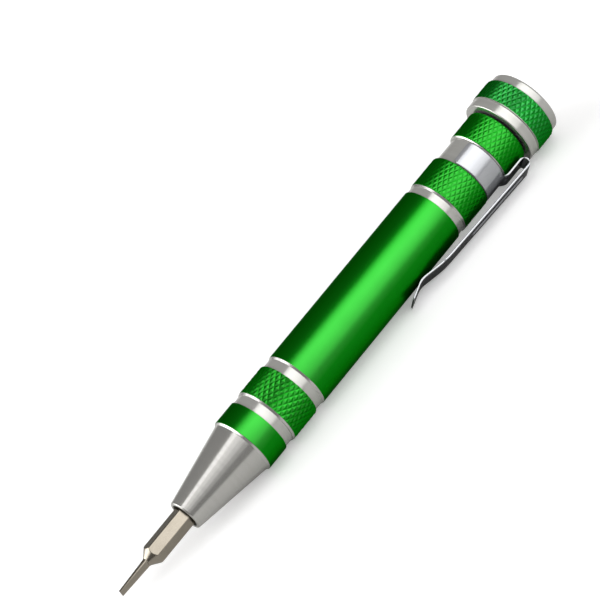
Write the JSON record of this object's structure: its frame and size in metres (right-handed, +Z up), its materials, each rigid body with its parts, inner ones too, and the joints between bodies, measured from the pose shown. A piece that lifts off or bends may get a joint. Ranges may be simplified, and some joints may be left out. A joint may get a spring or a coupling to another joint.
{
  "type": "pocket screwdriver",
  "caption": "Pen-shaped pocket screwdriver with a hexagon bit in a bare nose, a green anodised barrel, a spring pocket clip and a knurled screw cap over a rack of spare bits.",
  "frame": {"origin": "centre of the tail's flat end, on the tool's axis", "axes": "+X along the axis out of the tail, so the bit points along -X; +Z up with the tool lying on its cap and clip"},
  "size_m": [0.1242, 0.0164, 0.016],
  "materials": {
    "green_anodised": "satin anodised",
    "bare_metal": "bright turned",
    "tool_steel": "plain",
    "nickel": "nickel plated",
    "spring_steel": "polished",
    "black_rubber": "matt",
    "brass": "plain",
    "grey_plastic": "moulded"
  },
  "bodies": {
    "handle": {"barrel": "green_anodised", "nose_cone": "bare_metal", "socket_sleeve": "tool_steel", "bit_magnet": "nickel", "clip_band": "spring_steel"},
    "bit": {"driver_bit": "nickel"},
    "arm": {"clip_arm": "spring_steel"},
    "storage": {"bit_rack": "grey_plastic", "spare_cross_small": "nickel", "spare_cross_large": "nickel", "spare_star_small": "nickel", "spare_star_large": "nickel", "spare_hexagon": "nickel", "spare_slot_wide": "nickel"},
    "seal": {"seal_ring": "black_rubber"},
    "cap": {"tail_cap": "green_anodised", "rack_catch": "brass"},
    "finger_disc": {"end_disc": "bare_metal", "disc_retainer": "tool_steel"}
  },
  "joints": [
    {"name": "bit_pull", "type": "slide", "parent": "handle", "child": "bit", "axis": [-1, 0, 0], "range_m": [0, 0.0105]},
    {"name": "clip_flex", "type": "hinge", "parent": "handle", "child": "arm", "pos_m": [-0.01141, -0.00576, -0.00523], "axis": [0, -0.6723, 0.7403], "range_deg": [0, 6], "stiffness_Nm_per_rad": 0.6, "springref_deg": -2.86},
    {"name": "rack_pull", "type": "slide", "parent": "handle", "child": "storage", "axis": [1, 0, 0], "range_m": [0, 0.072]},
    {"name": "thread_rise", "type": "slide", "parent": "storage", "child": "seal", "axis": [1, 0, 0], "range_m": [0, 0.00301]},
    {"name": "cap_turn", "type": "hinge", "parent": "seal", "child": "cap", "pos_m": [-0.005, 0, 0], "axis": [1, 0, 0], "range_deg": [0, 1440]},
    {"name": "disc_spin", "type": "hinge", "parent": "cap", "child": "finger_disc", "pos_m": [-0.001, 0, 0], "axis": [1, 0, 0], "continuous": true}
  ],
  "couplings": [
    {"joint": "thread_rise", "follows": "cap_turn", "m_per_rad": 0.00011937}
  ]
}
